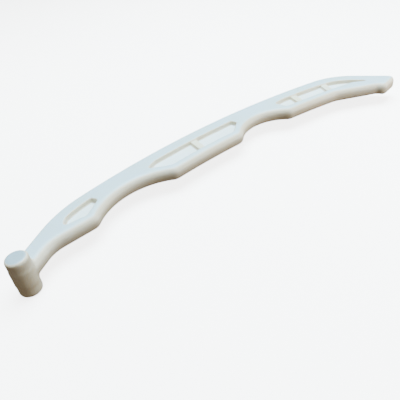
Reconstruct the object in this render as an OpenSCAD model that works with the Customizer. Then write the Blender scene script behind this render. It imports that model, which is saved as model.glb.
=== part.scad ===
// Timing chain guide: a bowed bar moulded in one piece with a round pivot barrel.
// The barrel axis is Z and passes through the origin at mid depth of the bar. X runs along
// the chord to the tip, and Y points to the side that the chain runs on.
// The rim of the bar is a closed path of lines and arcs that are tangent to each other,
// followed clockwise with the material on its right. The bar is lofted through the rim at
// several heights, drawn inwards near both sides by an edge rounding that can grow along
// the path.

/* [Pivot barrel] */
// Diameter of the round barrel
barrel_d = 10.2; // [9:0.1:13]
// Length of the barrel along its axis
barrel_len = 19.8; // [16:0.2:26]
// Rounding of the barrel's two end edges
barrel_edge = 1.4; // [0.4:0.1:2.2]
// Step from the barrel's wall, and from the bar's sides, out to the eye that joins them
eye_step = 0.2; // [0.1:0.05:0.5]

/* [Bar] */
// Depth of the bar across the chain
bar_depth = 8; // [7.4:0.2:11]
// Rounding of the edges along the chain face
face_round = 0.8; // [0.5:0.1:2]
// Rounding of the edges along the back
back_round = 3.6; // [2:0.1:3.6]
// Thickness of the bar where it leaves the barrel
root_t = 10.2; // [9:0.1:10.4]
// Length of the even root beside the barrel
root_run = 16.4; // [12:0.2:20]
// Blend radius where the root opens into the first bump
root_blend = 16; // [8:1:25]

/* [Chain face] */
// Distance from the barrel axis to the line of the chain face
face_offset = 5.1; // [4:0.1:5.2]
// Slope of the chain face at the barrel, in degrees
entry_angle = 38.5; // [32:0.5:45]
// Straight run of the chain face beside the barrel
entry_run = 23; // [18:0.5:28]
// Radius of the bend after the straight run
entry_r = 63; // [50:1:80]
// Turn of that bend, in degrees
entry_bend_angle = 25; // [20:0.5:30]
// Radius of the long working arc
arc_r = 450; // [380:5:540]
// Turn of the working arc, in degrees
arc_angle = 22.7; // [20:0.1:26]
// Radius of the knee before the tail
knee_r = 36; // [30:1:44]
// Turn of the knee, in degrees
knee_angle = 45; // [38:1:52]
// Straight run of the chain face along the tail, to its sharp end
tail_run = 27.3; // [24:0.1:32]

/* [Scalloped back] */
// Thickness of the bump nearest the barrel
near_bump_t = 21.1; // [18:0.1:23]
// Thickness of the middle bump
mid_bump_t = 24.7; // [22:0.1:28]
// Thickness of the bump before the tail
far_bump_t = 23.7; // [21:0.1:27]
// Station of the first neck along the chain face
near_neck_s = 68.6; // [62:0.2:74]
// Thickness of the first neck
near_neck_t = 14.1; // [12:0.1:16]
// Radius of the scallop at the first neck
near_scallop_r = 36.1; // [32:0.1:42]
// Station of the second neck along the chain face
far_neck_s = 169.6; // [162:0.2:176]
// Thickness of the second neck
far_neck_t = 15.3; // [13:0.1:17]
// Radius of the scallop at the second neck
far_scallop_r = 24.1; // [21:0.1:29]
// Rounding of the bump corners
bump_round = 5.6; // [4:0.2:9]
// Length of the far bump's back past the start of the knee
far_bump_run = 1; // [0:0.2:4]
// Blend radius from the far bump into the tail
tail_blend = 16; // [8:1:24]

/* [Tip] */
// Angle between the chain face and the end face, in degrees
end_angle = 67.5; // [60:0.5:76]
// Length of the end face from the sharp tip to the heel
end_face = 17.9; // [15:0.1:21]
// Rounding of the tip in plan
tip_round = 3.2; // [3:0.1:6]
// Rounding of the edges along the end face
end_round = 2.8; // [1.2:0.1:2.8]
// Height of the heel that stands proud of the tail's back
heel_h = 4.6; // [3:0.1:5.4]
// Blend radius inside the heel
heel_blend = 3; // [1.5:0.1:5]
// Rounding of the heel corner
heel_round = 4; // [3.8:0.1:5]

/* [Pockets] */
// Depth of the blind pockets on each side of the bar
pocket_depth = 2.5; // [1.5:0.1:2.8]
// Width of the rail between the chain face and the pockets
face_rail = 8.1; // [6.8:0.1:9.3]
// Width of that rail at the pocket nearest the barrel
near_face_rail = 6.7; // [5.9:0.1:7.9]
// Width of the rail behind the pockets
back_rail = 5.6; // [4.6:0.1:6.6]
// Width of the rail behind the ends of the pockets
neck_rail = 3.5; // [3:0.1:4.5]
// Rounding of the pocket corners
pocket_round = 1.2; // [0.6:0.1:1.6]
// Distance from the root to the point of the near pocket
near_lead = 11.4; // [9:0.2:14]
// Distance from the chain face to that point
near_point = 9.2; // [8:0.1:10.4]
// Distance from a neck to the pointed end of the pocket after it
lead = 19; // [16:0.5:22]
// Distance from the blunt end of a pocket to the neck after it
lag = 14.5; // [12:0.5:17]
// Reach of the tail groove past the knee
groove_run = 8; // [5:0.5:11]

/* [Ribs] */
// Thickness of the cross ribs in the pockets
rib_t = 4.2; // [3:0.1:5]
// Drop from the side of the bar to the rib tops
rib_drop = 0.9; // [0.2:0.1:1.4]
// Lean of the ribs from square to the chain face, in degrees
rib_lean_angle = 10; // [0:1:20]
// Distance from the first neck to the middle rib
mid_rib = 54.6; // [46:0.2:62]
// Distance from the second neck to the first far rib
far_rib = 34.8; // [31:0.2:38]
// Spacing of the two far ribs
far_rib_gap = 25.8; // [22:0.2:28]

/* [Hidden] */
$fn = 96;
// Longest chord along a curve of a pocket
chord = 2.4;
// Longest step along the rim, and the largest turn in one step, in degrees
rim_step = 6;
rim_turn = 4;
// Rings in the rounding of an edge
edge_rings = 6;
// Overlap that keeps cuts and crossing pieces clear of each other's faces
over = 1;
// Largest share of a side that one rounded corner takes
corner_share = 0.48;

// Stations where the chain face changes curve
entry_end = entry_run + arc_len(entry_r, entry_bend_angle);
knee_start = entry_end + arc_len(arc_r, arc_angle);
knee_end = knee_start + arc_len(knee_r, knee_angle);

// Slopes after each bend
arc_slope = entry_angle - entry_bend_angle;
knee_slope = arc_slope - arc_angle;
tail_slope = knee_slope - knee_angle;

// Start of each curve, and the centres that the curves turn about
face_start = face_offset * left(entry_angle);
entry_start = face_start + entry_run * ahead(entry_angle);
entry_centre = entry_start - entry_r * left(entry_angle);
arc_start = entry_centre + entry_r * left(arc_slope);
arc_centre = arc_start - arc_r * left(arc_slope);
knee_begin = arc_centre + arc_r * left(knee_slope);
knee_centre = knee_begin - knee_r * left(knee_slope);
tail_start = knee_centre + knee_r * left(tail_slope);

// Sharp corners of the tip
tip = tail_start + tail_run * ahead(tail_slope);
end_slope = tail_slope + 180 + end_angle;
heel = tip + end_face * ahead(end_slope);
instep = heel - heel_h * left(end_slope);

// Radii of the bump backs, which run concentric with the working arc
mid_back_r = arc_r - mid_bump_t;
far_back_r = arc_r - far_bump_t;

// Scallop circles behind the two necks
near_scallop = behind(near_neck_s, near_neck_t + near_scallop_r);
far_scallop = behind(far_neck_s, far_neck_t + far_scallop_r);

// Lines of the tail's back, of the near bump's flank and of the root, and their slopes
far_bump_end = behind(knee_start + far_bump_run, far_bump_t);
tail_back_slope = heading(far_bump_end - instep);
near_bump_end = meet(entry_centre, entry_r - near_bump_t, near_scallop, near_scallop_r, -1);
root_end = behind(root_run, root_t);
flank_slope = heading(root_end - near_bump_end);
root_slope = entry_angle + 180;

// Centres of the roundings and blends between the pieces of the rim
tip_centre = crossing(tip - tip_round * left(tail_slope), tail_slope,
                      tip - tip_round * left(end_slope), end_slope);
heel_centre = heel - heel_round * (ahead(end_slope) + left(end_slope));
instep_centre = on_line(instep + heel_blend * left(tail_back_slope), tail_back_slope,
                        heel_centre, heel_round + heel_blend);
tail_centre = on_line(far_bump_end + tail_blend * left(tail_back_slope), tail_back_slope,
                      arc_centre, far_back_r - tail_blend);
far_corner = bump_corner(far_back_r, far_scallop, far_scallop_r, 1);
mid_end_corner = bump_corner(mid_back_r, far_scallop, far_scallop_r, -1);
mid_start_corner = bump_corner(mid_back_r, near_scallop, near_scallop_r, 1);
near_corner = on_line(near_bump_end - bump_round * left(flank_slope), flank_slope,
                      near_scallop, near_scallop_r + bump_round);
root_centre = crossing(near_bump_end + root_blend * left(flank_slope), flank_slope,
                       root_end + root_blend * left(root_slope), root_slope);

// Points where straight pieces of the rim end
tail_end = foot(tip, tail_slope, tip_centre);
end_start = foot(tip, end_slope, tip_centre);
end_stop = foot(tip, end_slope, heel_centre);
tail_back_start = foot(instep, tail_back_slope, instep_centre);
tail_back_stop = foot(instep, tail_back_slope, tail_centre);
flank_start = foot(root_end, flank_slope, near_corner);
flank_stop = foot(root_end, flank_slope, root_centre);
root_start = foot(root_end, root_slope, root_centre);

// Pieces of the rim, from the barrel along the chain face to the tip and back
rim = [
    straight(face_start, entry_start, face_round, face_round),
    bend(entry_centre, entry_r, entry_start, arc_start, face_round, face_round),
    bend(arc_centre, arc_r, arc_start, knee_begin, face_round, face_round),
    bend(knee_centre, knee_r, knee_begin, tail_start, face_round, face_round),
    straight(tail_start, tail_end, face_round, face_round),
    bend(tip_centre, tip_round, tail_end, end_start, face_round, end_round),
    straight(end_start, end_stop, end_round, end_round),
    bend(heel_centre, heel_round, end_stop, instep_centre, end_round, back_round),
    bend(instep_centre, heel_blend, heel_centre, tail_back_start, back_round, back_round),
    straight(tail_back_start, tail_back_stop, back_round, back_round),
    bend(tail_centre, tail_blend, tail_back_stop, 2 * tail_centre - arc_centre, back_round, back_round),
    bend(arc_centre, far_back_r, tail_centre, far_corner, back_round, back_round),
    bend(far_corner, bump_round, arc_centre, far_scallop, back_round, back_round),
    bend(far_scallop, far_scallop_r, far_corner, mid_end_corner, back_round, back_round),
    bend(mid_end_corner, bump_round, far_scallop, arc_centre, back_round, back_round),
    bend(arc_centre, mid_back_r, mid_end_corner, mid_start_corner, back_round, back_round),
    bend(mid_start_corner, bump_round, arc_centre, near_scallop, back_round, back_round),
    bend(near_scallop, near_scallop_r, mid_start_corner, near_corner, back_round, back_round),
    bend(near_corner, bump_round, near_scallop, flank_start, back_round, back_round),
    straight(flank_start, flank_stop, back_round, back_round),
    bend(root_centre, root_blend, flank_stop, root_start, back_round, back_round),
    straight(root_start, behind(0, root_t), back_round, back_round)
];

// Points of the whole rim
rim_points = concat(
    [for (piece = rim) each piece_points(piece)],
    [piece_point(rim[len(rim) - 1], 1)]
);

function arc_len(r, turn) = PI * r * turn / 180;
function ahead(slope) = [cos(slope), sin(slope)];
function left(slope) = [-sin(slope), cos(slope)];
function heading(v) = atan2(v[1], v[0]);

// Slope of the chain face at a station
function face_slope(s) =
    s < entry_run ? entry_angle :
    s < entry_end ? entry_angle - 180 * (s - entry_run) / (PI * entry_r) :
    s < knee_start ? arc_slope - 180 * (s - entry_end) / (PI * arc_r) :
    s < knee_end ? knee_slope - 180 * (s - knee_start) / (PI * knee_r) :
    tail_slope;

// Point of the chain face at a station
function face_point(s) =
    s < entry_run ? face_start + s * ahead(entry_angle) :
    s < entry_end ? entry_centre + entry_r * left(face_slope(s)) :
    s < knee_start ? arc_centre + arc_r * left(face_slope(s)) :
    s < knee_end ? knee_centre + knee_r * left(face_slope(s)) :
    tail_start + (s - knee_end) * ahead(tail_slope);

// Point at a distance behind the chain face
function behind(s, d) = face_point(s) - d * left(face_slope(s));

// Points behind a stretch of the chain face, first and last included
function run_behind(s0, s1, d) =
    let (n = max(1, ceil(abs(s1 - s0) / chord)))
    [for (i = [0:n]) behind(s0 + (s1 - s0) * i / n, d)];

// Point where two circles cross, on the side of the line of centres that turn names
function meet(c0, r0, c1, r1, turn) =
    let (
        gap = norm(c1 - c0),
        along = (gap * gap + r0 * r0 - r1 * r1) / (2 * gap),
        across = sqrt(max(0, r0 * r0 - along * along)),
        u = (c1 - c0) / gap
    )
    c0 + along * u - turn * across * [-u[1], u[0]];

// Centre of the rounding between a bump's back and a scallop
function bump_corner(back_r, scallop, scallop_r, turn) =
    meet(arc_centre, back_r + bump_round, scallop, scallop_r + bump_round, turn);

// Last point on the line through p that lies at a distance r from c
function on_line(p, slope, c, r) =
    let (
        u = ahead(slope),
        along = (p - c) * u,
        gap = (p - c) * (p - c) - r * r
    )
    p + (sqrt(max(0, along * along - gap)) - along) * u;

// Foot of the square from c to the line through p
function foot(p, slope, c) = p + ((c - p) * ahead(slope)) * ahead(slope);

// Point where two lines cross
function crossing(p, slope_p, q, slope_q) =
    p + cross(q - p, ahead(slope_q)) / cross(ahead(slope_p), ahead(slope_q)) * ahead(slope_p);

// Pieces of a path, each with its edge rounding at both ends: a start, a slope, a length
// and no radius for a straight one, and a centre, a first heading, a turn and a radius for
// a bend
function straight(a, b, edge_a, edge_b) = [a, heading(b - a), norm(b - a), 0, edge_a, edge_b];
function bend(c, r, from, to, edge_a, edge_b) =
    let (first = heading(from - c))
    [c, first, turn_between(first, heading(to - c)), r, edge_a, edge_b];

// Turn from one heading to another, the short way round
function turn_between(a, b) = ((b - a + 540) % 360) - 180;

// Steps along a piece of the rim
function piece_steps(piece) =
    piece[3] == 0 ? ceil(piece[2] / rim_step) :
    max(2, ceil(abs(piece[2]) / rim_turn), ceil(arc_len(piece[3], abs(piece[2])) / rim_step));

// Point at a share of a piece of the rim, with the heading into the material and the edge
// rounding there
function piece_point(piece, share) =
    let (
        bent = piece[3] > 0,
        angle = bent ? piece[1] + share * piece[2] : piece[1],
        p = piece[0] + (bent ? piece[3] : share * piece[2]) * ahead(angle),
        inwards = bent ? (piece[2] < 0 ? angle + 180 : angle) : angle - 90
    )
    [p, inwards, piece[4] + share * (piece[5] - piece[4])];

// Points along a piece of the rim, the last one left out
function piece_points(piece) =
    let (n = piece_steps(piece))
    [for (i = [0:n - 1]) piece_point(piece, i / n)];

// Point of the rim drawn inwards by its edge rounding, at a turn of that rounding. The
// side is 1 above the middle of the bar and -1 below it.
function edge_point(p, turn, side) =
    let (plan = p[0] + p[2] * (1 - cos(turn)) * ahead(p[1]))
    [plan[0], plan[1], side * (bar_depth / 2 - p[2] + p[2] * sin(turn))];

// Triangles that fill a long ring from its point i on one edge and its point j on the other,
// with the shorter of the two next cross edges each time
function filling(ring, i, j) =
    j - i < 2 ? [] :
    norm(ring[i + 1] - ring[j]) < norm(ring[i] - ring[j - 1]) ?
        concat([[i, i + 1, j]], filling(ring, i + 1, j)) :
        concat([[i, j - 1, j]], filling(ring, i, j - 1));

// Points of an arc about c from point a to point b, the short way round, without its ends
function arc_between(c, a, b) =
    let (
        r = norm(a - c),
        first = heading(a - c),
        turn = turn_between(first, heading(b - c)),
        n = max(2, ceil(arc_len(r, abs(turn)) / chord))
    )
    [for (i = [1:n - 1]) c + r * ahead(first + turn * i / n)];

// Rounded corner at b between a and c, with the radius limited by the two sides
function corner(a, b, c, r) =
    let (
        u = (a - b) / norm(a - b),
        v = (c - b) / norm(c - b),
        half = acos(max(-1, min(1, u * v))) / 2,
        reach = min(r / tan(half), corner_share * min(norm(a - b), norm(c - b))),
        centre = b + reach / cos(half) * (u + v) / norm(u + v),
        first = b + reach * u,
        last = b + reach * v
    )
    concat([first], arc_between(centre, first, last), [last]);

// Closed outline with every corner of a given radius rounded and the plain points kept
function rounded(corners) =
    let (n = len(corners))
    [for (i = [0:n - 1])
        let (
            a = corners[(i + n - 1) % n],
            b = corners[i],
            c = corners[(i + 1) % n]
        )
        each b[2] > 0 ? corner(xy(a), xy(b), xy(c), b[2]) : [xy(b)]];

function xy(p) = [p[0], p[1]];
function sharp(points) = [for (p = points) [p[0], p[1], 0]];
function round_at(p, r) = [p[0], p[1], r];

// Pocket behind the entry bend
function near_pocket() =
    let (
        flank = near_scallop_r + back_rail,
        low = meet(entry_centre, entry_r - near_bump_t + back_rail, near_scallop, flank, -1),
        blunt = near_neck_s - lag,
        point = root_run + near_lead
    )
    rounded(concat(
        [round_at(behind(point, near_point), pocket_round)],
        sharp(run_behind(point + near_face_rail, blunt - pocket_round, near_face_rail)),
        [
            round_at(behind(blunt, near_neck_t - neck_rail), pocket_round),
            round_at(low, pocket_round)
        ]
    ));

// Pocket along the working arc between the two necks
function mid_pocket() =
    let (
        low_r = mid_back_r + back_rail,
        low_start = meet(arc_centre, low_r, near_scallop, near_scallop_r + back_rail, 1),
        low_end = meet(arc_centre, low_r, far_scallop, far_scallop_r + back_rail, -1),
        point = near_neck_s + lead,
        blunt = far_neck_s - lag
    )
    rounded(concat(
        [round_at(behind(point, near_neck_t - neck_rail), pocket_round)],
        sharp(run_behind(point + face_rail, blunt - pocket_round, face_rail)),
        [
            round_at(behind(blunt, far_neck_t - neck_rail), pocket_round),
            round_at(low_end, pocket_round)
        ],
        sharp(arc_between(arc_centre, low_end, low_start)),
        [round_at(low_start, pocket_round)]
    ));

// Pocket from the second neck that narrows to a groove in the tail
function far_pocket() =
    let (
        low_r = far_back_r + back_rail,
        low_start = meet(arc_centre, low_r, far_scallop, far_scallop_r + back_rail, 1),
        low_end = behind(knee_start + far_bump_run, far_bump_t - back_rail),
        point = far_neck_s + lead,
        groove_end = knee_end + groove_run
    )
    rounded(concat(
        [round_at(behind(point, far_neck_t - back_rail), pocket_round)],
        sharp(run_behind(point + face_rail, knee_start, face_rail)),
        sharp(run_behind(knee_start, knee_end, face_rail)),
        [
            round_at(behind(groove_end, face_rail), pocket_round / 2),
            round_at(behind(groove_end, face_rail + pocket_round), pocket_round / 2),
            round_at(behind(knee_end, face_rail + neck_rail), pocket_round),
            round_at(low_end, pocket_round)
        ],
        sharp(arc_between(arc_centre, low_end, low_start)),
        [round_at(low_start, pocket_round)]
    ));

// Bar without its pockets, lofted through rings from its lower side to its upper side
module bar() {
    quarter = [for (i = [0:edge_rings]) 90 * i / edge_rings];
    lower = [for (i = [edge_rings:-1:0]) [for (p = rim_points) edge_point(p, quarter[i], -1)]];
    upper = [for (turn = quarter) [for (p = rim_points) edge_point(p, turn, 1)]];
    rings = concat(lower, upper);
    n = len(rim_points);
    last = len(rings) - 1;
    sides = [
        for (j = [0:last - 1], i = [0:n - 1])
            let (
                a = j * n + i,
                b = j * n + (i + 1) % n
            )
            each [[a, b, b + n], [a, b + n, a + n]]
    ];
    side = filling(rings[last], 0, n - 1);
    floor = [for (face = side) [face[2], face[1], face[0]]];
    roof = [for (face = side) face + last * n * [1, 1, 1]];
    polyhedron([for (ring = rings) each ring], concat(sides, floor, roof));
}

// Cross rib from rail to rail at a station where the bar has the given thickness
module rib_strip(s, thickness) {
    length = thickness - back_rail - face_rail + 2 * over;
    translate(behind(s, (face_rail + thickness - back_rail) / 2))
        rotate(face_slope(s) - rib_lean_angle)
            square([rib_t, length], center = true);
}

// Pockets of one side, cut from its face down to a floor
module pocket_cut() {
    translate([0, 0, bar_depth / 2 - pocket_depth])
        linear_extrude(pocket_depth + over) {
            polygon(near_pocket());
            polygon(mid_pocket());
            polygon(far_pocket());
        }
}

// Ribs of one side, standing on the pocket floors
module ribs() {
    translate([0, 0, bar_depth / 2 - pocket_depth - over])
        linear_extrude(pocket_depth + over - rib_drop) {
            rib_strip(near_neck_s + mid_rib, mid_bump_t);
            rib_strip(far_neck_s + far_rib, far_bump_t);
            rib_strip(far_neck_s + far_rib + far_rib_gap, far_bump_t);
        }
}

// Barrel with rounded end edges
module barrel() {
    inner = barrel_d / 2 - barrel_edge;
    rotate_extrude() {
        translate([0, -barrel_len / 2])
            square([inner, barrel_len]);
        translate([0, barrel_edge - barrel_len / 2])
            square([barrel_d / 2, barrel_len - 2 * barrel_edge]);
        for (end = [-1, 1])
            translate([inner, end * (barrel_len / 2 - barrel_edge)])
                circle(barrel_edge);
    }
}

// Eye at the end of the bar, round the middle of the barrel
module eye() {
    cylinder(h = bar_depth + 2 * eye_step, r = barrel_d / 2 + eye_step, center = true);
}

// The whole guide, one moulding
module chain_guide() {
    color([0.91, 0.9, 0.84]) {
        difference() {
            bar();
            pocket_cut();
            mirror([0, 0, 1])
                pocket_cut();
        }
        ribs();
        mirror([0, 0, 1])
            ribs();
        eye();
        barrel();
    }
}

chain_guide();
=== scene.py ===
"""Looks of the moulded timing chain guide, in the frame of its CAD model.

The guide is one piece of natural nylon. Its finished mesh is made from a merged copy of
the CAD node: a fine even remesh and a few smoothing passes round every edge and blend
every inner corner, as a mould does. A studio with a pale floor and backdrop, soft lights
and the camera's viewing angle goes with it.
"""

from __future__ import annotations

import logging
from dataclasses import dataclass
from enum import Enum

import bpy
from mathutils import Matrix, Vector

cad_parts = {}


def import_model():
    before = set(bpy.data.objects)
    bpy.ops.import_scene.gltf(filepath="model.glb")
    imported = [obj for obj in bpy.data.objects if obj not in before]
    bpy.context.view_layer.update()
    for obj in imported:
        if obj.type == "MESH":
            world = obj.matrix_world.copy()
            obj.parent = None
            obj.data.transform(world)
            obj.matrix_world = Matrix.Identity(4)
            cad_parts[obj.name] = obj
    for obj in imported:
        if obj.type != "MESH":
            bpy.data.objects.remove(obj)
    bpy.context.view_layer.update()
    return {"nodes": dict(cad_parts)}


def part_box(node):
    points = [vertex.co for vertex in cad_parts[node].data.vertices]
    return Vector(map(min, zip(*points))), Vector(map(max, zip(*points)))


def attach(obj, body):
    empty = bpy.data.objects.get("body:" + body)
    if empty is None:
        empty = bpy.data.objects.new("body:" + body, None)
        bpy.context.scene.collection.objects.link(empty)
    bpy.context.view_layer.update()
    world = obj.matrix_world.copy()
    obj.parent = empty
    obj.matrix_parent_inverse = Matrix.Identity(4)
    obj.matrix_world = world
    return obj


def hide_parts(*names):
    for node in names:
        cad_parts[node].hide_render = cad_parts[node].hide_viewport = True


LOG = logging.getLogger("scene")
MM = 0.001

Triple = tuple[float, float, float]
Span = tuple[float, float]


class Node(Enum):
    """CAD nodes that the scene dresses."""

    GUIDE = "chain_guide"


class Slot(Enum):
    """Names of material slots."""

    NYLON = "nylon"


class ColorMix(Enum):
    """Places of the colour sockets on a Mix node, whose names repeat."""

    UNDER = 6
    OVER = 7
    RESULT = 2


def deselect_all() -> None:
    """Leave object mode with nothing selected and no active object."""
    if bpy.context.object and bpy.context.object.mode != "OBJECT":
        bpy.ops.object.mode_set(mode="OBJECT")
    bpy.ops.object.select_all(action="DESELECT")
    bpy.context.view_layer.objects.active = None


def activate(obj: bpy.types.Object) -> None:
    """Make one object the only selected one and the active one.

    Args:
        obj: The object that the next operators act on.
    """
    deselect_all()
    obj.select_set(True)
    bpy.context.view_layer.objects.active = obj


@dataclass(frozen=True)
class SkinNodes:
    """Short ways to add the nodes of one shader group.

    Attributes:
        tree: The group that the nodes go into.
    """

    tree: bpy.types.NodeTree

    def link(self, source: bpy.types.NodeSocket, target: bpy.types.NodeSocket) -> None:
        """Lead an output into an input."""
        self.tree.links.new(source, target)

    def height(self, vector: bpy.types.NodeSocket) -> bpy.types.NodeSocket:
        """Take the size of a vector's Z, the same above and below the middle.

        Args:
            vector: The output that gives the vector.

        Returns:
            The output that gives the size.
        """
        parts = self.tree.nodes.new("ShaderNodeSeparateXYZ")
        size = self.tree.nodes.new("ShaderNodeMath")
        size.operation = "ABSOLUTE"
        self.link(vector, parts.inputs["Vector"])
        self.link(parts.outputs["Z"], size.inputs[0])
        return size.outputs[0]

    def ramp(self, value: bpy.types.NodeSocket, span: Span) -> bpy.types.NodeSocket:
        """Make a mask that rises smoothly over a span of a value.

        Args:
            value: The output that gives the value.
            span: The values where the mask is 0 and where it is 1.

        Returns:
            The output that gives the mask.
        """
        step = self.tree.nodes.new("ShaderNodeMapRange")
        step.interpolation_type = "SMOOTHSTEP"
        step.inputs["From Min"].default_value = span[0]
        step.inputs["From Max"].default_value = span[1]
        self.link(value, step.inputs["Value"])
        return step.outputs["Result"]

    def both(
        self, first: bpy.types.NodeSocket, second: bpy.types.NodeSocket
    ) -> bpy.types.NodeSocket:
        """Make a mask of what two masks share.

        Args:
            first: The output that gives one mask.
            second: The output that gives the other mask.

        Returns:
            The output that gives their product.
        """
        product = self.tree.nodes.new("ShaderNodeMath")
        product.operation = "MULTIPLY"
        self.link(first, product.inputs[0])
        self.link(second, product.inputs[1])
        return product.outputs[0]

    def over(
        self,
        mask: bpy.types.NodeSocket,
        under: bpy.types.NodeSocket | Triple,
        color: Triple,
        blend: str = "MIX",
    ) -> bpy.types.NodeSocket:
        """Lay a colour over another one where a mask is 1.

        Args:
            mask: The output that gives the mask.
            under: The colour below, or the output that gives it.
            color: The colour on top, linear RGB.
            blend: How the colour on top is laid.

        Returns:
            The output that gives the mixed colour.
        """
        mix = self.tree.nodes.new("ShaderNodeMix")
        mix.data_type = "RGBA"
        mix.blend_type = blend
        self.link(mask, mix.inputs["Factor"])
        if isinstance(under, tuple):
            mix.inputs[ColorMix.UNDER.value].default_value = (*under, 1.0)
        else:
            self.link(under, mix.inputs[ColorMix.UNDER.value])
        mix.inputs[ColorMix.OVER.value].default_value = (*color, 1.0)
        return mix.outputs[ColorMix.RESULT.value]

    def noise(
        self, position: bpy.types.NodeSocket, scale: float, detail: float
    ) -> bpy.types.NodeSocket:
        """Make an uneven value over the piece.

        Args:
            position: The output that gives the Object coordinates.
            scale: About how many patches a metre holds.
            detail: How many finer layers the patches have.

        Returns:
            The output that gives the value, from 0 to 1.
        """
        noise = self.tree.nodes.new("ShaderNodeTexNoise")
        noise.inputs["Scale"].default_value = scale
        noise.inputs["Detail"].default_value = detail
        self.link(position, noise.inputs["Vector"])
        return noise.outputs["Fac"]


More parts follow.
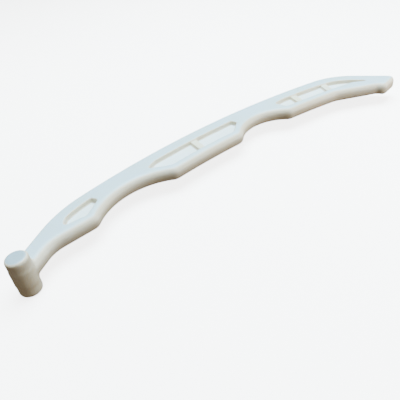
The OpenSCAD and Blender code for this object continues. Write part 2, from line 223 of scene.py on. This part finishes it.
@dataclass(frozen=True)
class Nylon:
    """Natural unfilled nylon: off-white, a little translucent, satin.

    Heights are taken from the middle of the bar's depth, on both sides of it.

    Attributes:
        name: Name of the material.
        top_lit_side: Colour of the bar's level faces, blue as painted cool top light, linear RGB.
        edge: Colour of the walls and rounded edges, darker and warmer as painted shade, linear
            RGB.
        glowing_web: Colour of the slim pocket floors, brighter and bluer as painted light shining
            through them, linear RGB.
        rib: Colour of the rib tops, linear RGB.
        end: Colour of the ends of the barrel, which stands taller than the bar, darker as painted
            shade, linear RGB.
        flow: Tint of the yellower flow patches, linear RGB.
        lit_face_span: Z of the normal where the sides' painted top-lit colour starts and is full,
            over the edges' painted shade.
        glow_span: Heights where the painted glow of the pocket floors starts and is full, in
            metres.
        rib_foot: Heights below the rib tops where their colour starts and is full, in metres.
        rib_head: Heights above the rib tops where their colour starts and is full, in metres.
        end_shade_span: Heights where the barrel ends' painted shade starts and is full, in
            metres.
        flow_span: Values of the noise where a flow patch starts and is full.
        flow_scale: Scale of the flow patches.
        flow_detail: Finer layers of the flow patches.
        roughness: Mean roughness of the skin.
        haze: How far the roughness strays from its mean.
        haze_scale: Scale of the patches of roughness.
        haze_detail: Finer layers of the patches of roughness.
        grain: Depth of the fine mould grain, in metres.
        grain_scale: Scale of the grain.
        grain_detail: Finer layers of the grain.
        grain_strength: Share of the grain that shows.
        subsurface: Weight of the light that scatters inside.
        scatter: How far red, green and blue travel, against each other.
        depth: How far that light travels, in metres.
        ior: Index of refraction.
    """

    name: str = "natural_nylon"
    # Painted light: the level faces are tinted blue for a cool top light.
    top_lit_side: Triple = (0.47, 0.63, 0.71)
    # Painted shade: walls and rounded edges darker and warmer than the level faces.
    edge: Triple = (0.62, 0.55, 0.43)
    # Painted light: the pocket floors are brightened as if lit through.
    glowing_web: Triple = (0.74, 0.88, 0.95)
    rib: Triple = (0.72, 0.73, 0.60)
    # Painted shade: the barrel's ends are darker than the bar's level faces.
    end: Triple = (0.29, 0.40, 0.47)
    flow: Triple = (1.0, 0.97, 0.90)
    lit_face_span: Span = (0.85, 0.999)
    glow_span: Span = (2.1 * MM, 1.7 * MM)
    rib_foot: Span = (2.3 * MM, 2.7 * MM)
    rib_head: Span = (3.6 * MM, 3.3 * MM)
    end_shade_span: Span = (5.0 * MM, 8.0 * MM)
    flow_span: Span = (0.35, 0.65)
    flow_scale: float = 28.0
    flow_detail: float = 3.0
    roughness: float = 0.42
    haze: float = 0.07
    haze_scale: float = 160.0
    haze_detail: float = 4.0
    grain: float = 0.06 * MM
    grain_scale: float = 1500.0
    grain_detail: float = 2.0
    grain_strength: float = 0.25
    subsurface: float = 0.35
    scatter: Triple = (1.0, 0.85, 0.6)
    depth: float = 3.0 * MM
    ior: float = 1.53

    def material(self) -> bpy.types.Material:
        """Build the material.

        Returns:
            A node material that reads Object coordinates.
        """
        mat = bpy.data.materials.new(self.name)
        mat.use_nodes = True
        tree = mat.node_tree
        tree.nodes.clear()
        out = tree.nodes.new("ShaderNodeOutputMaterial")
        bsdf = tree.nodes.new("ShaderNodeBsdfPrincipled")
        bsdf.inputs["Subsurface Weight"].default_value = self.subsurface
        bsdf.inputs["Subsurface Radius"].default_value = self.scatter
        bsdf.inputs["Subsurface Scale"].default_value = self.depth
        bsdf.inputs["IOR"].default_value = self.ior
        coords = tree.nodes.new("ShaderNodeTexCoord")
        skin = tree.nodes.new("ShaderNodeGroup")
        skin.node_tree = self.skin_group()
        tree.links.new(coords.outputs["Object"], skin.inputs["Position"])
        tree.links.new(coords.outputs["Normal"], skin.inputs["Facing"])
        tree.links.new(skin.outputs["Color"], bsdf.inputs["Base Color"])
        tree.links.new(skin.outputs["Roughness"], bsdf.inputs["Roughness"])
        tree.links.new(skin.outputs["Normal"], bsdf.inputs["Normal"])
        tree.links.new(bsdf.outputs["BSDF"], out.inputs["Surface"])
        return mat

    def skin_group(self) -> bpy.types.NodeTree:
        """Build the group that gives the moulded skin its colour with painted light and shade,
        its sheen and grain.

        Returns:
            The shader node group.
        """
        group = bpy.data.node_groups.new(f"{self.name}_skin", "ShaderNodeTree")
        face = group.interface
        face.new_socket("Position", in_out="INPUT", socket_type="NodeSocketVector")
        face.new_socket("Facing", in_out="INPUT", socket_type="NodeSocketVector")
        face.new_socket("Color", in_out="OUTPUT", socket_type="NodeSocketColor")
        face.new_socket("Roughness", in_out="OUTPUT", socket_type="NodeSocketFloat")
        face.new_socket("Normal", in_out="OUTPUT", socket_type="NodeSocketVector")
        inp = group.nodes.new("NodeGroupInput")
        out = group.nodes.new("NodeGroupOutput")
        add = SkinNodes(group)
        position = inp.outputs["Position"]
        add.link(self.tone(add, position, inp.outputs["Facing"]), out.inputs["Color"])
        add.link(self.sheen(add, position), out.inputs["Roughness"])
        add.link(self.mould_grain(add, position), out.inputs["Normal"])
        return group

    def tone(
        self, add: SkinNodes, position: bpy.types.NodeSocket, facing: bpy.types.NodeSocket
    ) -> bpy.types.NodeSocket:
        """Colour the sides, edges, pocket floors, ribs and barrel ends, with light and shade
        painted into the colour.

        Args:
            add: Adds nodes to the group.
            position: The output that gives the Object coordinates.
            facing: The output that gives the normal.

        Returns:
            The output that gives the colour.
        """
        height = add.height(position)
        lit_face_mask = add.ramp(add.height(facing), self.lit_face_span)
        glow_mask = add.both(lit_face_mask, add.ramp(height, self.glow_span))
        rib_top = add.both(add.ramp(height, self.rib_foot), add.ramp(height, self.rib_head))
        raised = add.both(lit_face_mask, rib_top)
        end_shade_mask = add.both(lit_face_mask, add.ramp(height, self.end_shade_span))
        # Painted light and shade by facing: level faces take the cool top-lit colour, steeper
        # faces the warm painted shade.
        skin = add.over(lit_face_mask, self.edge, self.top_lit_side)
        # Painted light: a brighter glow on the pocket floors.
        skin = add.over(glow_mask, skin, self.glowing_web)
        skin = add.over(raised, skin, self.rib)
        # Painted shade on the barrel's ends.
        skin = add.over(end_shade_mask, skin, self.end)
        cloud = add.noise(position, self.flow_scale, self.flow_detail)
        return add.over(add.ramp(cloud, self.flow_span), skin, self.flow, "MULTIPLY")

    def sheen(self, add: SkinNodes, position: bpy.types.NodeSocket) -> bpy.types.NodeSocket:
        """Make the skin a little rougher and smoother in patches.

        Args:
            add: Adds nodes to the group.
            position: The output that gives the Object coordinates.

        Returns:
            The output that gives the roughness.
        """
        span = add.tree.nodes.new("ShaderNodeMapRange")
        span.inputs["To Min"].default_value = self.roughness - self.haze
        span.inputs["To Max"].default_value = self.roughness + self.haze
        patches = add.noise(position, self.haze_scale, self.haze_detail)
        add.link(patches, span.inputs["Value"])
        return span.outputs["Result"]

    def mould_grain(self, add: SkinNodes, position: bpy.types.NodeSocket) -> bpy.types.NodeSocket:
        """Give the skin the fine grain of the mould.

        Args:
            add: Adds nodes to the group.
            position: The output that gives the Object coordinates.

        Returns:
            The output that gives the normal.
        """
        bump = add.tree.nodes.new("ShaderNodeBump")
        bump.inputs["Strength"].default_value = self.grain_strength
        bump.inputs["Distance"].default_value = self.grain
        pits = add.noise(position, self.grain_scale, self.grain_detail)
        add.link(pits, bump.inputs["Height"])
        return bump.outputs["Normal"]


@dataclass
class GuideMoulding:
    """The whole guide as the mould leaves it, with every edge rounded.

    Attributes:
        node: The CAD node that the finished mesh stands for.
        weld: Distance below which the copy's corners are merged, in metres.
        voxel: Edge length of the even mesh, in metres.
        passes: Smoothing passes that round the edges.
        pull: Share of the way to its neighbours' middle that a pass moves a point.
    """

    node: Node = Node.GUIDE
    weld: float = 0.01 * MM
    voxel: float = 0.5 * MM
    passes: int = 6
    pull: float = 0.5

    def build(self, cad: bpy.types.Object) -> bpy.types.Object:
        """Make the finished mesh from a merged copy of the CAD node.

        Args:
            cad: The CAD node's object, which is left as it is.

        Returns:
            The finished piece, which replaces the node.
        """
        piece = bpy.data.objects.new("guide_moulding", cad.data.copy())
        bpy.context.scene.collection.objects.link(piece)
        activate(piece)
        bpy.ops.object.mode_set(mode="EDIT")
        bpy.ops.mesh.select_all(action="SELECT")
        bpy.ops.mesh.remove_doubles(threshold=self.weld)
        bpy.ops.mesh.normals_make_consistent(inside=False)
        bpy.ops.object.mode_set(mode="OBJECT")
        self.soften(piece)
        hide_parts(self.node.value)
        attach(piece, "root")
        return piece

    def soften(self, piece: bpy.types.Object) -> None:
        """Give the piece an even mesh and round its edges.

        Args:
            piece: The merged copy of the CAD node.
        """
        activate(piece)
        even = piece.modifiers.new("even", "REMESH")
        even.mode = "VOXEL"
        even.voxel_size = self.voxel
        even.use_smooth_shade = True
        bpy.ops.object.modifier_apply(modifier=even.name)
        rounder = piece.modifiers.new("rounder", "SMOOTH")
        rounder.factor = self.pull
        rounder.iterations = self.passes
        bpy.ops.object.modifier_apply(modifier=rounder.name)
        bpy.ops.object.shade_smooth()

    def dress(self, piece: bpy.types.Object, nylon: bpy.types.Material) -> None:
        """Put the nylon on the piece.

        Args:
            piece: The finished piece.
            nylon: The nylon material.
        """
        piece.data.materials.clear()
        piece.data.materials.append(nylon)


@dataclass(frozen=True)
class SoftLight:
    """One area light of the studio.

    Attributes:
        name: Name of the light.
        place: Where it hangs, in metres.
        aim: The point that it faces, in metres.
        size: Edge length of its square, in metres.
        power: Power, in watts.
        color: Linear RGB.
    """

    name: str
    place: Triple
    aim: Triple
    size: float
    power: float
    color: Triple

    def hang(self) -> bpy.types.Object:
        """Add the light to the scene.

        Returns:
            The light's object.
        """
        data = bpy.data.lights.new(self.name, "AREA")
        data.shape = "SQUARE"
        data.size = self.size
        data.energy = self.power
        data.color = self.color
        lamp = bpy.data.objects.new(self.name, data)
        lamp.location = self.place
        way = Vector(self.aim) - Vector(self.place)
        lamp.rotation_euler = way.to_track_quat("-Z", "Y").to_euler()
        bpy.context.scene.collection.objects.link(lamp)
        return lamp


@dataclass
class Studio:
    """Pale floor and backdrop, soft lights and the camera.

    Attributes:
        floor_z: Height of the floor, in metres.
        floor_x: Where the middle of the floor lies along the part, in metres.
        floor_size: Edge length of the floor, in metres.
        dome_share: Radius of the backdrop against the floor's edge length.
        dome_sides: Segments of the backdrop round its axis.
        dome_rings: Rings of the backdrop from pole to pole.
        paper_color: Colour of the floor and the backdrop, linear RGB.
        paper_roughness: Roughness of the paper.
        glow: Strength of the paper's own light.
        ambient: Strength of the light from all round.
        ambient_color: Colour of the light from all round, linear RGB.
        eye: The camera's place, in metres.
        right: The camera's right in the part's frame.
        up: The camera's up in the part's frame.
        lens: Focal length, in millimetres.
        sensor: Width of the sensor, in millimetres.
        near: Nearest distance that the camera shows, in metres.
    """

    floor_z: float
    floor_x: float = 0.12
    floor_size: float = 6.0
    dome_share: float = 0.49
    dome_sides: int = 48
    dome_rings: int = 24
    paper_color: Triple = (0.98, 0.90, 0.86)
    paper_roughness: float = 0.9
    glow: float = 4.5
    ambient: float = 0.24
    ambient_color: Triple = (1.0, 0.88, 0.70)
    eye: Triple = (-0.00398, -0.15641, 0.12340)
    right: Triple = (0.7993, -0.5885, -0.1220)
    up: Triple = (0.4313, 0.4203, 0.7984)
    lens: float = 39.15
    sensor: float = 36.0
    near: float = 0.005

    def build(self) -> None:
        """Set the stage up."""
        paper = self.paper()
        self.lay_floor(paper)
        self.hang_backdrop(paper)
        self.tone_world()
        self.hang_lights()
        self.place_camera()

    def paper(self) -> bpy.types.Material:
        """Build the pale paper of the stage, lit through from behind.

        Returns:
            A plain material with an even glow.
        """
        mat = bpy.data.materials.new("stage_paper")
        mat.use_nodes = True
        bsdf = mat.node_tree.nodes["Principled BSDF"]
        bsdf.inputs["Base Color"].default_value = (*self.paper_color, 1.0)
        bsdf.inputs["Roughness"].default_value = self.paper_roughness
        bsdf.inputs["Emission Color"].default_value = (1.0, 1.0, 1.0, 1.0)
        bsdf.inputs["Emission Strength"].default_value = self.glow
        return mat

    def lay_floor(self, paper: bpy.types.Material) -> None:
        """Lay the pale floor under the part, with no glow of it on the part.

        Args:
            paper: The stage's paper.
        """
        deselect_all()
        bpy.ops.mesh.primitive_plane_add(
            size=self.floor_size, location=(self.floor_x, 0.0, self.floor_z)
        )
        floor = bpy.context.object
        floor.name = "floor"
        floor.data.materials.append(paper)
        floor.visible_diffuse = False
        floor.visible_glossy = False

    def hang_backdrop(self, paper: bpy.types.Material) -> None:
        """Hang a pale dome round the floor, which the light from all round passes through.

        Args:
            paper: The stage's paper.
        """
        deselect_all()
        bpy.ops.mesh.primitive_uv_sphere_add(
            segments=self.dome_sides,
            ring_count=self.dome_rings,
            radius=self.dome_share * self.floor_size,
            location=(self.floor_x, 0.0, self.floor_z),
        )
        dome = bpy.context.object
        dome.name = "backdrop"
        dome.data.materials.append(paper)
        bpy.ops.object.shade_smooth()
        dome.visible_diffuse = False
        dome.visible_glossy = False
        dome.visible_shadow = False

    def tone_world(self) -> None:
        """Set the even, warm light that comes from all round."""
        world = bpy.data.worlds.new("studio")
        world.use_nodes = True
        back = world.node_tree.nodes["Background"]
        back.inputs["Color"].default_value = (*self.ambient_color, 1.0)
        back.inputs["Strength"].default_value = self.ambient
        bpy.context.scene.world = world

    def hang_lights(self) -> None:
        """Hang a cool light above and a low, warmer one at the far end."""
        lights = (
            SoftLight(
                name="top",
                place=(0.28, 0.10, 0.65),
                aim=(0.12, 0.02, 0.0),
                size=0.6,
                power=26.0,
                color=(0.69, 0.90, 1.0),
            ),
            SoftLight(
                name="right",
                place=(0.36, -0.16, 0.04),
                aim=(0.2, 0.02, 0.0),
                size=0.2,
                power=1.2,
                color=(1.0, 0.97, 0.92),
            ),
        )
        for light in lights:
            light.hang()

    def place_camera(self) -> None:
        """Place the camera at the viewing angle of the product picture."""
        data = bpy.data.cameras.new("view")
        data.sensor_width = self.sensor
        data.lens = self.lens
        data.clip_start = self.near
        camera = bpy.data.objects.new("view", data)
        right = Vector(self.right).normalized()
        back = right.cross(Vector(self.up)).normalized()
        above = back.cross(right)
        turn = Matrix((right, above, back)).transposed().to_4x4()
        camera.matrix_world = Matrix.Translation(self.eye) @ turn
        bpy.context.scene.collection.objects.link(camera)
        bpy.context.scene.camera = camera


def main() -> None:
    """Dress the guide, set the stage and report the pieces."""
    logging.basicConfig(level=logging.INFO, format="%(name)s: %(message)s")
    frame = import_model()
    deselect_all()

    guide = GuideMoulding()
    piece = guide.build(frame["nodes"][guide.node.value])
    guide.dress(piece, Nylon().material())
    LOG.info("%s: %d faces", piece.name, len(piece.data.polygons))

    low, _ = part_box(guide.node.value)
    Studio(floor_z=low.z).build()


if __name__ == "__main__":
    main()
